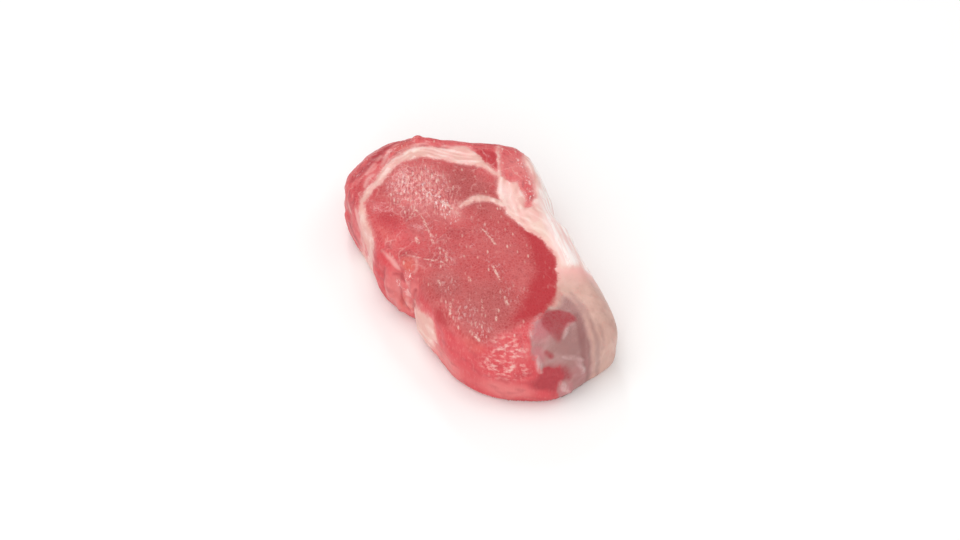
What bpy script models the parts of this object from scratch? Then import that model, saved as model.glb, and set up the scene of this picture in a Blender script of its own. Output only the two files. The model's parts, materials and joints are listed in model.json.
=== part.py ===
"""Raw veal sirloin: one thick boneless slice lying on its cut face.

The slice is one soft body. It starts as a cube, is cut into a coarse cage, is shaped by its
plan outline, its side profile and the lumps of its muscles, and is rounded by subdivision.
+X is the long axis towards the silverskin end, +Y the fat cap side, +Z up, and the origin
lies under the middle of the slice at the height of the flat underside.
Numbers are millimetres and degrees. Bearings turn from +X towards +Y.
"""

import math

import bmesh
import bpy
from mathutils import Vector, noise

MM = 0.001
NAME = "veal_sirloin"

# Plan outline: straight sides with soft corners, each a bearing and a distance from the middle.
SIDES = (
    (0.0, 70.6),  # near end
    (20.0, 68.8),  # near end, fat cap corner
    (77.5, 36.3),  # flank of the fat cap
    (117.0, 53.0),  # far corner of the fat cap
    (143.5, 56.0),  # far end, cut off at a slant
    (180.0, 71.8),  # far end
    (204.0, 68.4),  # far end, trimmed corner
    (256.0, 47.5),  # trimmed side behind the lobes
    (269.0, 38.4),  # trimmed side
    (312.0, 55.8),  # near corner
)
CORNER_POWER = 22.0

# Swells and hollows of the outline: bearing, half width in degrees, swell.
SWELLS = (
    (87.0, 13.0, -2.2),  # slight waist of the fat cap
    (152.0, 7.0, -1.2),  # slight hollow of the slanted end
    (171.0, 5.0, 2.4),  # small point of the rim strip
    (250.0, 10.0, 3.2),  # loose lobes
    (278.0, 6.0, -3.0),  # notch beside the lobes
    (333.0, 11.0, 3.0),  # near end beside the silverskin
    (17.0, 5.0, 1.9),  # corner where the fat cap is cut off
)

# Heights of the top face and how it leans.
THICKNESS = 31.0
SLOPE_X = 0.018
SLOPE_Y = -0.015

# Side profile at stations around the slice, and the cage row of its widest line (-1 to 1).
SHOULDER = {5: 17.0, 45: 15.0, 90: 11.0, 125: 7.0, 165: 6.0, 215: 6.0, 275: 5.5, 305: 5.5, 335: 12.0}
GIRTH_HEIGHT = {0: 10.0, 60: 14.0, 120: 16.0, 180: 16.0, 225: 15.0, 255: 12.0, 300: 13.0, 330: 9.0}
UNDERCUT = {0: 2.3, 17: 1.0, 60: 5.0, 120: 4.5, 180: 4.5, 225: 5.0, 258: 2.8, 300: 2.8, 330: 1.0, 350: 1.8}
GIRTH_ROW = 0.0
ROUNDNESS = 2.4
RIM_TURN = 48.0

# Lumps of the top face: x, y, half length, half width, turn, height.
LUMPS = (
    (14.0, -11.0, 34.0, 21.0, 4.0, 1.7),  # thick part of the eye
    (-30.0, -4.0, 20.0, 17.0, 30.0, 0.9),  # far part of the eye
    (-24.0, 27.0, 20.0, 6.0, 8.0, 1.0),  # side muscle over the fat cap
    (18.0, 23.0, 28.0, 6.5, -8.0, 1.1),  # ridge of the fat cap
    (-12.0, -34.0, 10.0, 5.0, 0.0, -3.0),  # lobes lie lower than the eye
    (-4.0, -32.0, 4.0, 3.5, 0.0, 1.4),  # round lobe on top of them
    (52.0, 4.0, 6.0, 11.0, 10.0, -1.6),  # hollow under the silverskin
)

# Groove of the fat seam along the far edge of the eye, as a chain of points.
SEAM = ((-40, -34), (-50, -22), (-57, -8), (-51, 5), (-38, 17), (-22, 22), (-6, 18))
SEAM_DEPTH = 1.1
SEAM_WIDTH = 4.5

# Lumps of the wall: bearing, height, half width in degrees, half height, bulge.
WALL_LUMPS = (
    (245.0, 19.0, 6.0, 9.0, 1.6),  # upper lobe
    (259.5, 10.0, 5.0, 9.0, 2.6),  # lower lobe
    (252.5, 13.0, 2.6, 9.0, -1.9),  # cleft between the lobes
    (271.0, 21.0, 4.5, 7.0, 1.8),  # small lobe over the notch
    (267.5, 8.0, 2.4, 7.0, -1.2),  # crease of the notch
    (286.0, 15.0, 6.0, 9.0, 1.4),  # lump of fat
    (300.0, 12.0, 17.0, 10.0, 0.8),  # belly of the near wall
    (340.0, 10.0, 9.0, 9.0, 1.2),  # red muscle under the silverskin
    (352.0, 20.0, 7.0, 7.0, -1.4),  # hollow of the silverskin
    (14.0, 14.0, 3.0, 14.0, -1.0),  # crease where the silverskin meets the fat
    (30.0, 15.0, 11.0, 11.0, 1.4),  # fat at the near end
    (196.0, 20.0, 7.0, 5.0, 1.4),  # lump of the rim strip
    (208.0, 17.0, 3.5, 9.0, -1.4),  # crease below the rim strip
)

# Slight unevenness of the whole surface: grain in mm, depth on the face and on the wall.
UNEVEN_GRAIN = 15.0
UNEVEN_FACE = 0.5
UNEVEN_WALL = 0.9
UNEVEN_RADIUS = 55.0

# The lumps of the wall fade out over this height above the underside.
FOOT_FADE = 6.0

# Cage of the soft body.
CUTS_LONG = 30
CUTS_WIDE = 20
CUTS_HIGH = 5
ROUNDING_LEVELS = 1

MEAT_COLOUR = (0.60, 0.14, 0.14, 1.0)
MEAT_ROUGHNESS = 0.38


def clear_scene():
    """Remove what the scene holds."""
    for thing in list(bpy.data.objects):
        bpy.data.objects.remove(thing, do_unlink=True)


def turn_between(bearing, centre):
    """Signed turn from one bearing to another, within half a circle."""
    return (bearing - centre + 180.0) % 360.0 - 180.0


def bell(distance):
    """Smooth bell, one at the middle and near nothing from two out."""
    return math.exp(-distance * distance)


def at_bearing(stations, bearing):
    """Value at a bearing, blended between the stations around the slice."""
    marks = sorted(stations)
    bearing %= 360.0
    before = max((m for m in marks if m <= bearing), default=marks[-1])
    after = min((m for m in marks if m > bearing), default=marks[0])
    span = (after - before) % 360.0
    share = ((bearing - before) % 360.0) / span
    share = share * share * (3.0 - 2.0 * share)
    return stations[before] * (1.0 - share) + stations[after] * share


def outline_radius(bearing):
    """Radius of the widest outline at a bearing."""
    nearness = 0.0
    for side, distance in SIDES:
        facing = math.cos(math.radians(bearing - side))
        nearness += max(0.0, facing / distance) ** CORNER_POWER
    radius = nearness ** (-1.0 / CORNER_POWER)
    for centre, half_width, swell in SWELLS:
        radius += swell * bell(turn_between(bearing, centre) / half_width)
    return radius


def chain_distance(x, y, chain):
    """Distance in plan from a point to a chain of points."""
    nearest = 1000.0
    for (ax, ay), (bx, by) in zip(chain, chain[1:]):
        run = (bx - ax) ** 2 + (by - ay) ** 2
        share = ((x - ax) * (bx - ax) + (y - ay) * (by - ay)) / run
        share = min(1.0, max(0.0, share))
        gap = math.hypot(x - ax - share * (bx - ax), y - ay - share * (by - ay))
        nearest = min(nearest, gap)
    return nearest


def unevenness(x, y, z):
    """Smooth uneven value between about -1 and 1."""
    return noise.noise(Vector((x, y, z)) / UNEVEN_GRAIN)


def lump_height(x, y):
    """Height that the muscles, the fat and the seam add to the top face."""
    height = 0.0
    for cx, cy, half_long, half_wide, turn, rise in LUMPS:
        angle = math.radians(turn)
        along = (x - cx) * math.cos(angle) + (y - cy) * math.sin(angle)
        across = (y - cy) * math.cos(angle) - (x - cx) * math.sin(angle)
        height += rise * bell(math.hypot(along / half_long, across / half_wide))
    height -= SEAM_DEPTH * bell(chain_distance(x, y, SEAM) / SEAM_WIDTH)
    return height + UNEVEN_FACE * unevenness(x, y, 0.0)


def top_level(x, y):
    """Height of the top face before its edge turns down."""
    level = THICKNESS + SLOPE_X * x + SLOPE_Y * y
    return level + lump_height(x, y)


def wall_bulge(bearing, height):
    """How far the lumps of the wall push it out."""
    bulge = 0.0
    for centre, middle, half_width, half_height, push in WALL_LUMPS:
        sideways = turn_between(bearing, centre) / half_width
        upward = (height - middle) / half_height
        bulge += push * bell(math.hypot(sideways, upward))
    around = math.radians(bearing)
    wave = unevenness(UNEVEN_RADIUS * math.cos(around), UNEVEN_RADIUS * math.sin(around), height)
    return bulge + UNEVEN_WALL * wave


def disc_point(u, v):
    """Bearing and radius share in a disc for a point of the square -1..1."""
    across = u * math.sqrt(1.0 - v * v / 2.0)
    upward = v * math.sqrt(1.0 - u * u / 2.0)
    return math.degrees(math.atan2(upward, across)), math.hypot(across, upward)


def rim_inset(bearing):
    """How far inside the widest outline the rim of the top face lies."""
    share = math.sin(math.radians(RIM_TURN)) ** (2.0 / ROUNDNESS)
    return at_bearing(SHOULDER, bearing) * (1.0 - share)


def top_point(u, v):
    """Point of the top face for a place in the square."""
    bearing, share = disc_point(u, v)
    radius = (outline_radius(bearing) - rim_inset(bearing)) * share
    x = radius * math.cos(math.radians(bearing))
    y = radius * math.sin(math.radians(bearing))
    inside = outline_radius(bearing) - radius
    shoulder = at_bearing(SHOULDER, bearing)
    level = top_level(x, y)
    if inside < shoulder:
        girth = at_bearing(GIRTH_HEIGHT, bearing)
        fall = 1.0 - inside / shoulder
        level = girth + (level - girth) * (1.0 - fall**ROUNDNESS) ** (1.0 / ROUNDNESS)
    return x, y, level


def wall_point(u, v, w):
    """Point of the wall, from the rim (w is 1) to the foot (w is -1)."""
    bearing = disc_point(u, v)[0]
    angle = math.radians(bearing)
    radius = outline_radius(bearing)
    girth = at_bearing(GIRTH_HEIGHT, bearing)
    power = 2.0 / ROUNDNESS
    if w >= GIRTH_ROW:
        turn = RIM_TURN + (90.0 - RIM_TURN) * (1.0 - w) / (1.0 - GIRTH_ROW)
        turn = math.radians(turn)
        shoulder = at_bearing(SHOULDER, bearing)
        radius -= shoulder * (1.0 - math.sin(turn) ** power)
        level = top_level(radius * math.cos(angle), radius * math.sin(angle))
        height = girth + (level - girth) * max(0.0, math.cos(turn)) ** power
    else:
        turn = math.radians(90.0 * (GIRTH_ROW - w) / (1.0 + GIRTH_ROW))
        radius -= at_bearing(UNDERCUT, bearing) * (1.0 - max(0.0, math.cos(turn)) ** power)
        height = girth * (1.0 - math.sin(turn) ** power)
    radius += wall_bulge(bearing, height) * min(1.0, height / FOOT_FADE)
    return radius * math.cos(angle), radius * math.sin(angle), height


def foot_point(u, v):
    """Point of the flat underside for a place in the square."""
    bearing, share = disc_point(u, v)
    radius = (outline_radius(bearing) - at_bearing(UNDERCUT, bearing)) * share
    return radius * math.cos(math.radians(bearing)), radius * math.sin(math.radians(bearing)), 0.0


def cut_cage(cage):
    """Cut the cube into the rows of the cage, one direction after another."""
    for axis, cuts in ((0, CUTS_LONG), (1, CUTS_WIDE), (2, CUTS_HIGH)):
        edges = [e for e in cage.edges if abs((e.verts[0].co - e.verts[1].co)[axis]) > 0.01]
        bmesh.ops.subdivide_edges(cage, edges=edges, cuts=cuts, use_grid_fill=True)


def shape_cage(cage):
    """Move each corner of the cage to its place on the slice."""
    for vert in cage.verts:
        u, v, w = vert.co
        if w > 0.999:
            place = top_point(u, v)
        elif w < -0.999:
            place = foot_point(u, v)
        else:
            place = wall_point(u, v, w)
        vert.co = [value * MM for value in place]


def meat_material():
    """Raw pink veal, moist."""
    material = bpy.data.materials.new("raw_veal")
    material.use_nodes = True
    shader = material.node_tree.nodes["Principled BSDF"]
    shader.inputs["Base Color"].default_value = MEAT_COLOUR
    shader.inputs["Roughness"].default_value = MEAT_ROUGHNESS
    shader.inputs["Metallic"].default_value = 0.0
    return material


def make_slice(collection):
    """Make the slice from a cube and round it."""
    cage = bmesh.new()
    bmesh.ops.create_cube(cage, size=2.0)
    cut_cage(cage)
    shape_cage(cage)
    mesh = bpy.data.meshes.new(NAME)
    cage.to_mesh(mesh)
    cage.free()
    mesh.shade_smooth()
    mesh.materials.append(meat_material())
    body = bpy.data.objects.new(NAME, mesh)
    collection.objects.link(body)
    rounding = body.modifiers.new("Rounding", "SUBSURF")
    rounding.levels = ROUNDING_LEVELS
    rounding.render_levels = ROUNDING_LEVELS
    return body


def main():
    """Build the veal sirloin in its own collection."""
    clear_scene()
    collection = bpy.data.collections.new("Veal sirloin")
    bpy.context.scene.collection.children.link(collection)
    make_slice(collection)


main()
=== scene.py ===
import json
import math

import bpy
import numpy as np
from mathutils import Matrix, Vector, noise

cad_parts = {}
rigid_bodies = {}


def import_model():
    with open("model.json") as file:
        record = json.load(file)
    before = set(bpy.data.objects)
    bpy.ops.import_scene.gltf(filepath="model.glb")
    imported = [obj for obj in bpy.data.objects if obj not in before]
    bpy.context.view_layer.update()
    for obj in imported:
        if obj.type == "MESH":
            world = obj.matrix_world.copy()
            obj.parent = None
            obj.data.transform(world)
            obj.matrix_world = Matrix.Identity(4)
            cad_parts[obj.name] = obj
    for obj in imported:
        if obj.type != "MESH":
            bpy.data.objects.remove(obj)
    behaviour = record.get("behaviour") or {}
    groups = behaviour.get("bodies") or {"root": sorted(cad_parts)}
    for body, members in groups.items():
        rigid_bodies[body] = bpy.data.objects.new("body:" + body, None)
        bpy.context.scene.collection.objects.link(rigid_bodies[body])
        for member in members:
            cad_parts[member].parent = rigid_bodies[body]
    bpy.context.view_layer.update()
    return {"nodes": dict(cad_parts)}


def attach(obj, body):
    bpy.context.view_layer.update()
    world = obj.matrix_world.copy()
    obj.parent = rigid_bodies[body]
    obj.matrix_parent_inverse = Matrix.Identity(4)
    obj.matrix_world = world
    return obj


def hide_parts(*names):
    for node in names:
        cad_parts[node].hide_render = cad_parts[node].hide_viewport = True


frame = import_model()

bl_info = {
    "name": "Raw veal sirloin",
    "version": (1, 0, 0),
    "blender": (4, 5, 0),
    "location": "View3D > Sidebar > Veal",
    "description": "One thick slice of raw veal sirloin, sculpted and coloured over its CAD solid",
    "category": "Mesh",
}

MM = 0.001
CAD_NODE = "veal_sirloin"
SLICE = "veal_slice"
BODY = "root"

# The slice in plan, in millimetres. +X is the silverskin end and +Y the fat cap.
EYE_MUSCLE = (
    (-50, -4), (-51, 1), (-49, 4), (-45, 6.5), (-43, 9), (-39, 12), (-35, 16), (-32, 20), (-28, 21.3), (-24, 21.8),
    (-21, 21.3), (-18, 19.3), (-14, 16.8), (-11, 15), (-7, 15.3), (-3, 14), (4, 14), (13, 16.5), (21, 17.5),
    (27, 17), (35, 13), (42, 9), (46, 5.5), (48, 2), (48, -3), (49, -9), (48.5, -15), (48, -22), (46.5, -28),
    (44, -32), (38, -35), (30, -36.5), (17, -38.5), (7, -37.5), (-3, -34), (-17, -34.5), (-27, -36), (-35, -33.5),
    (-40, -30), (-43.5, -24), (-47.5, -16), (-50, -10),
)  # fmt: skip
WIDE_SEAM = (
    (-56.5, -3), (-56.2, 1.5), (-54.4, 5.4), (-51.8, 9.2), (-48.6, 13), (-46.6, 16.6), (-44.3, 20.2), (-39, 22),
    (-34, 22.5), (-31, 21), (-32.5, 19), (-35, 16), (-39, 12), (-43, 9), (-45.5, 6), (-49, 3.5), (-51, 0),
    (-50.5, -4), (-54, -5),
)  # fmt: skip
FAT_CAP = (
    (-22, 21.2), (-21.5, 23.2), (-18, 24.2), (-14.5, 26.8), (-10.6, 25.6), (-7.6, 25.2), (-4.6, 23.2), (-2.4, 21),
    (0.2, 22.4), (-2.6, 26.2), (-5, 30), (-12, 33.4), (-17, 34.6), (-22, 35.8), (-28, 38.5), (-37, 60), (40, 70),
    (95, 50), (95, 6), (66, 7.2), (62, 9), (55, 11), (50, 10.5), (45, 8.6), (42, 7), (30, 9), (0, 8), (-15, 12),
)  # fmt: skip
SILVERSKIN = (
    (44, 11), (50, 12.6), (55, 13), (62, 11), (66, 9.2), (95, 8), (95, -12), (66, -11.5), (63.5, -14.5),
    (60.5, -17.5), (58, -15), (55.5, -13.8), (50.6, -8), (50.8, -5.4), (47.7, -1), (48, 3), (46.3, 6.5),
)  # fmt: skip
# Where the silverskin ends on the near end's wall, and the dark meat below it: y, z.
END_SKIN = (
    (-20, 45), (-17.5, 28), (-16.5, 25), (-14.6, 19.5), (-13, 21.5), (-9.5, 20.5), (-7, 20.8), (-6, 15), (-9, 10),
    (-9.5, 6), (-7, 1), (-7, -8), (5, -8), (16, -8), (16, 45),
)  # fmt: skip
END_DARK = (
    (-19.5, 14), (-15.7, 16), (-14.6, 19.5), (-13.1, 22), (-9.7, 22), (-6, 20.5), (-3.2, 15.5), (-2.6, 10.5),
    (-7.4, 13.5), (-8.7, 9), (-11.4, 7.8), (-14.5, 9), (-18.5, 10.5),
)  # fmt: skip
DARK_WEDGE = (
    (49.6, -5.2), (48.8, -1.5), (50, 3), (54, 6.6), (57.8, 7.0), (58, 3.6), (59.4, -0.4), (61.6, -3.4), (63, -5.8),
    (60.9, -6.9), (57.6, -7.6), (53.6, -7.2),
)  # fmt: skip
RED_TRIANGLE = (
    (-40.5, 22.4), (-38.5, 25.5), (-35.8, 29), (-32.5, 28.6), (-28.5, 26), (-26, 23.6), (-30, 22.4), (-36, 22),
)  # fmt: skip

# Fat drawn as strokes through the whole thickness: x, y, half width.
SEAM_STROKES = (
    ((-53.2, -2.5, 2.2), (-54, -7, 2.0), (-52, -13, 1.9), (-48.6, -18.5, 1.55), (-46.4, -23, 1.35),
     (-44, -29, 1.15), (-40, -33.4, 1.05), (-34, -36.4, 1.1), (-26, -38, 1.1), (-21, -40, 0.8), (-19, -44, 0.6)),
    ((-33, 20.6, 1.2), (-29, 21.6, 0.8), (-24, 22.4, 0.7), (-21, 23, 0.9), (-16, 24, 0.9)),
    ((-16, -0.5, 0.1), (-16.8, 3, 0.7), (-17, 7, 1.2), (-15.8, 10.5, 1.7), (-12.5, 13, 1.1), (-9, 15.5, 1.7)),
    ((-37, 32, 0.3), (-34, 30, 0.45), (-31, 28, 0.55), (-28.5, 26.3, 0.5), (-25.5, 24.5, 0.55), (-23, 23, 0.6)),
    ((33, 14.2, 0.5), (39, 11, 0.5), (44, 7.6, 0.6), (47.4, 4.2, 0.55), (48.4, 1, 0.3)),
)  # fmt: skip

# Thin pale septa and streaks on the cut face: x, y, half width.
MARBLING = (
    ((-7.6, -34.2, 0.0), (-5, -31.5, 0.1), (-1.3, -29, 0.0), (1.8, -26.3, 0.1), (5, -22.9, 0.1),
     (12.6, -21.6, 0.0)),
    ((-31, -12.5, 0.0), (-24.5, -17, 0.1), (-22, -21, 0.1), (-20.5, -25.8, 0.0)),
    ((-24.3, -16.7, 0.1), (-19, -16.4, 0.1), (-15.4, -17.4, 0.2), (-10.7, -18.4, 0.2), (-7.4, -19.4, 0.3),
     (-3.9, -20.9, 0.1)),
    ((-11.5, -25.1, 0.3), (-8.6, -25.5, 0.3)),
    ((1.4, -18.9, 0.25), (5.8, -21, 0.35)),
    ((-0.3, 0.8, 0.15), (4.2, 0.3, 0.25), (9.2, -0.1, 0.4)),
    ((18.5, -7.4, 0.3), (22.4, -8.1, 0.4), (26.3, -8.9, 0.2)),
    ((18.3, -18.6, 0.4), (20.4, -19.6, 0.3)),
    ((12.6, -29.2, 0.3), (15.6, -30.4, 0.15)),
    ((30.6, -20, 0.0), (35.7, -23.1, 0.1)),
    ((25.6, -31.6, 0.2), (29.5, -34.3, 0.35)),
    ((35.1, -12.4, 0.3), (38.4, -13.8, 0.25)),
    ((37.4, -17.4, 0.0), (42.8, -21.4, 0.25)),
    ((40.5, -32.3, 0.3), (45.2, -31.1, 0.3)),
    ((-24, -6, 0.5), (-18.4, -4, 0.5), (-11.7, -3.4, 0.2)),
    ((-24, 30, 0.0), (-20, 29, 0.1), (-15, 29.5, 0.0)),
)  # fmt: skip
# Blood-red margin of the eye beside the fat cap: x, y, half width.
RED_MARGIN = (
    (4, 15, 1.2), (15, 15.5, 2.8), (27, 13, 4.6), (35, 8.5, 5.8), (41, 2.5, 6.2), (44.5, -4.5, 4.8), (46, -10, 3.0),
    (46.5, -14, 1.6),
)  # fmt: skip

# Painted highlight: white over the fat along the shoulder of the cap: x, y, half width.
SHOULDER_HIGHLIGHT = (
    (-6, 33, 1.2), (3, 30, 2.0), (12, 27, 2.8), (24, 23.5, 3.4), (32, 21.5, 2.6),
)  # fmt: skip

# Strokes that stay on the skin: x, y, z, half width. First thin pink fat.
FILM_STROKES = (
    ((-16.6, -37.7, 27.5, 0.0), (-10.8, -37.5, 27.7, 0.7), (-6.4, -37, 27, 0.9), (-5, -36.9, 26.6, 0.3)),
    ((-59.6, -16.4, 29.4, 0.5), (-58.8, -15.2, 30, 0.9), (-59.6, -12, 29.6, 0.5)),
    ((1.6, -37.4, 15, 0.4), (1, -37.4, 12, 0.9), (0.2, -37.4, 9, 0.5)),
    ((-41.2, -35.4, 27, 0.7), (-36.5, -36.4, 23, 1.7), (-30.6, -37.2, 21, 1.9), (-24.8, -38, 19, 1.4),
     (-19, -41, 21, 0.8)),
    ((0.6, -36, 27.4, 1.0), (1.6, -36.6, 24.5, 0.7)),
    ((3, -37, 20.4, 1.3), (2.5, -37.2, 17.8, 1.0)),
    ((-7, -34, 29.6, 0.0), (-4.5, -31, 31.5, 0.1), (-1.5, -30.6, 32, 0.1), (1.9, -32.7, 30.4, 0.1),
     (1, -34.8, 28.4, 0.0)),
    ((-52, -31, 26, 0.3), (-48, -35, 24, 0.7), (-43, -37, 22, 0.4)),
    ((-54, -22.2, 30, 0.4), (-56.1, -19.7, 30, 0.8), (-56.9, -16.5, 30, 0.4)),
    ((-54.9, -14.4, 30, 0.4), (-58.6, -10, 29.5, 0.8), (-60.4, -7, 30, 0.4)),
    ((-48.4, -26.3, 30, 0.4), (-51.8, -22.9, 30, 0.7), (-52, -20.1, 30, 0.4)),
    ((-57, -5, 30, 0.3), (-58, 2, 29.8, 0.5), (-55, 8, 30, 0.4)),
    ((-50, 12.6, 30, 0.3), (-46.5, 17, 30, 0.7), (-43.5, 20.6, 30, 0.4)),
)  # fmt: skip
# Dark red lean; the last stroke is painted shade in a crevice between two lobes.
DEEP_STROKES = (
    ((-53.5, -29.4, 29.6, 0.5), (-55.8, -23.7, 29.6, 1.1), (-58.6, -17.5, 29.4, 1.2), (-61, -12, 29.2, 0.7),
     (-62.6, -7, 29, 0.3)),
    ((-60.5, -11.6, 29.6, 0.4), (-63, -6.1, 29, 0.8), (-63.4, -1.3, 29, 0.5), (-61, 3.4, 29, 0.3)),
    ((-51.7, 9.4, 29, 0.4), (-49.2, 11.9, 29.5, 0.6), (-46.5, 14.5, 29.5, 0.3)),
    ((-47.3, -35.8, 14, 0.9), (-42.7, -36.4, 12.5, 0.9), (-37, -36.8, 10, 1.1), (-31, -37, 8, 1.1),
     (-24, -38.5, 8, 0.7)),
    ((62.9, -11.3, 27.4, 0.6), (64.8, -10, 25.8, 0.8)),
    ((-5.6, -38, 25.4, 0.2), (-3, -37.7, 24.6, 0.9), (-1.4, -37.2, 24.4, 0.5)),
)  # fmt: skip
# Creases between the lobes, which are cut in and are also darkened with painted shade.
CREASES = (
    ((-6.5, -38.8, 23, 0.3), (-4.2, -38.2, 24.4, 0.8), (-2.2, -37.5, 25.2, 0.9), (-0.4, -37.2, 25, 0.5)),
    ((-1.2, -38.4, 19.4, 0.3), (-1.7, -38.4, 14, 0.5), (-0.4, -37.8, 10, 0.6), (1.8, -36.8, 7.4, 0.5)),
    ((-11, -40.5, 24, 0.3), (-11.8, -41, 17, 0.6), (-12.4, -40.5, 9, 0.7)),
    ((6.4, -36, 24, 0.3), (5.8, -36.4, 18, 0.6), (4.6, -36, 12, 0.8), (4.4, -35.6, 6, 0.8)),
)  # fmt: skip
# Brown lines along the silverskin and the outer fat.
BROWN_STROKES = (
    ((55.5, 7.6, 31, 0.8), (60.4, 6.2, 29, 1.6), (64.7, 4.7, 26, 1.6), (67.6, 3.3, 21, 1.2), (68.5, 3.4, 12, 0.8)),
    ((59.5, -3.2, 30.6, 1.1), (61.4, -4.2, 29.7, 0.6)),
    ((64.8, 6.9, 25.5, 0.5), (67.5, 5.7, 19, 0.8), (68.3, 5.3, 10, 0.8), (67.5, 5.5, 2, 0.5)),
    ((46.6, 11.4, 31.5, 0.4), (52.5, 11.8, 31, 0.8), (59.9, 11.2, 29, 0.9), (64.1, 10.9, 26, 0.9),
     (66.5, 10.4, 21, 1.0), (67.6, 10, 15, 1.1), (67.8, 10.4, 8, 1.0), (67.6, 10.6, 2, 0.6)),
    ((60.2, 13.8, 28.4, 0.3), (64.4, 14, 24, 0.6), (66.8, 13.2, 17, 0.4)),
)  # fmt: skip
# Folds of the silverskin, which stand out, and whose lighter colour is partly the membrane's own white and partly
# painted highlight.
SKIN_FOLDS = (
    ((62, -2.5, 29.4, 0.3), (60, 0.8, 30.4, 0.6), (58.4, 2.6, 30.5, 0.5), (58.5, 4.6, 30, 0.2)),
    ((66.4, -5.4, 24.2, 0.3), (67, -2.2, 22.5, 0.8), (67.8, 1.2, 20, 0.8), (68.2, 2.6, 18, 0.3)),
    ((67.9, -0.5, 20, 0.3), (68.4, 2, 15.5, 0.9), (68.6, 3, 11, 0.6)),
    ((49, -4.6, 32, 0.3), (51.3, -9.5, 32, 0.8), (53.8, -12.7, 32, 0.9), (56.5, -13.9, 32, 0.4)),
    ((62.3, -14.9, 26, 0.6), (63.6, -15.2, 22, 1.2), (64.3, -15.2, 19, 0.6)),
    ((68.3, -8, 12.4, 0.3), (69, -7, 9.5, 1.3), (69.1, -5.6, 6, 1.5), (68.6, -3.4, 3, 0.6)),
)  # fmt: skip

# Soft patches on the skin: middle x, y, z, half sizes x, y, z, and strength.
WET_MEAT = (
    (-37, -8, 31, 12, 12, 6, 1.0), (-24, -6, 31, 9, 8, 6, 1.0), (28, -33.5, 32, 10, 3, 4, 0.55),
    (2, -20, 33, 9, 4, 4, 0.5), (-30, -20, 31, 8, 6, 5, 0.5),
)  # fmt: skip
# Wet patches of the near wall, which are glossier and also carry painted glints.
WET_WALL = (
    (53, -23, 28, 8, 7, 4, 1.0), (58, -23.5, 20, 6, 6, 5, 1.0), (53, -29, 20, 6, 5, 6, 0.9),
)  # fmt: skip
# Paler lean; the last two patches, low on the near wall, are painted light from the floor.
PALE_MEAT_AND_FLOOR_LIGHT = (
    (-34, -9, 31, 15, 12, 6, 1.0), (-18, -5, 31, 9, 6, 6, 1.0), (-22, 32, 30, 9, 6, 6, 0.8),
    (-4, -38, 14, 8, 6, 12, 1.0), (-4.5, -34, 29, 4, 4, 4, 0.3), (4.6, -36.2, 24, 4, 4, 5, 1.0),
    (30, 22, 30, 6, 5, 6, 1.0), (60, -30, 8, 12, 12, 6, 0.9), (30, -40, 8, 14, 6, 6, 1.0),
)  # fmt: skip
BRIGHT_SPOTS = (
    (26.6, -37, 28.6, 5.0, 3.5, 3.2, 0.75), (-46, -27, 31, 6, 5, 4, 0.45), (-60, -13, 29, 5, 4, 4, 0.7),
    (12, -36.8, 27, 4, 3, 3, 0.35), (-26, -29, 32, 8, 5, 4, 0.6), (44, -30, 30, 4, 4, 3, 0.5),
)  # fmt: skip
WARM_LOBES = (
    (-2, -34, 30.6, 3.6, 3.2, 3, 0.75), (0.5, -38, 12, 2.6, 3.4, 5, 0.7), (-20, -33, 32, 7, 3, 3, 0.5),
    (-58, -2, 30, 4, 5, 3, 0.5), (44, -33, 27, 9, 3, 3, 0.4),
)  # fmt: skip
# Dusky, browner lean; the first two patches, on the cut face beside the near wall, are painted shade.
DUSKY_MEAT_AND_SHADE = (
    (34, -20, 32, 13, 12, 6, 0.6), (40, -28, 32, 10, 6, 6, 0.6), (-22, 8, 31, 16, 9, 6, 0.6),
    (17, -28, 32, 9, 7, 6, 0.6),
)  # fmt: skip
CALM_MEAT = (
    (-8, -38, 18, 14, 7, 14, 0.7), (-26, 33, 26, 14, 12, 12, 0.7),
)  # fmt: skip
MAUVE_SKIN = (
    (54, -10, 31, 6, 6, 5, 1.0), (62, -14.5, 27, 4, 3, 4, 0.8), (68, 2, 12, 4, 6, 9, 0.35),
    (69, -6, 6, 4, 4, 5, 0.9),
)  # fmt: skip
# Painted highlights: clusters of white glints on the cut face and on the lobes.
GLINT_PATCHES = (
    (-31, -7.5, 31.5, 7, 3, 4, 0.7), (-21, -6, 32, 6, 2.6, 4, 0.9), (-13, -7.5, 32, 4, 3, 4, 0.7),
    (-40, -13, 31, 8, 7, 4, 0.3), (-12, 32, 31, 4, 3, 4, 0.6), (-7, 27, 31, 3.5, 4, 4, 0.7),
    (-23, 35, 30, 6, 3, 4, 0.5), (43, -28, 31, 5, 4, 4, 0.3), (17, -27, 32, 6, 5, 4, 0.2),
    (32, -29, 32, 6, 5, 4, 0.25), (34, -9, 32, 7, 5, 4, 0.18), (3, -22, 32, 8, 5, 4, 0.18),
    (18, -6, 32, 7, 4, 4, 0.2), (2, 2, 32, 8, 5, 4, 0.15), (0.5, -35.9, 27.4, 2.2, 2.6, 2.4, 1.0),
    (-2.1, -39, 21.7, 2.2, 2.8, 2.2, 1.0), (2.8, -37.6, 20.1, 2.2, 2.8, 3.0, 1.0),
)  # fmt: skip

# The loose fat beside the notch, seen from the trimmed side: x, z.
LOOSE_FAT = (
    (3, 12), (6, 16.5), (9, 18), (12, 21), (17, 22.5), (20, 24.6), (23, 23.8), (25, 20), (27.4, 16), (25.5, 12.5),
    (26.5, 9), (22, 6.5), (19, 3), (15, 5), (10.5, 2), (6.5, 4), (4.5, 7),
)  # fmt: skip

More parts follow.
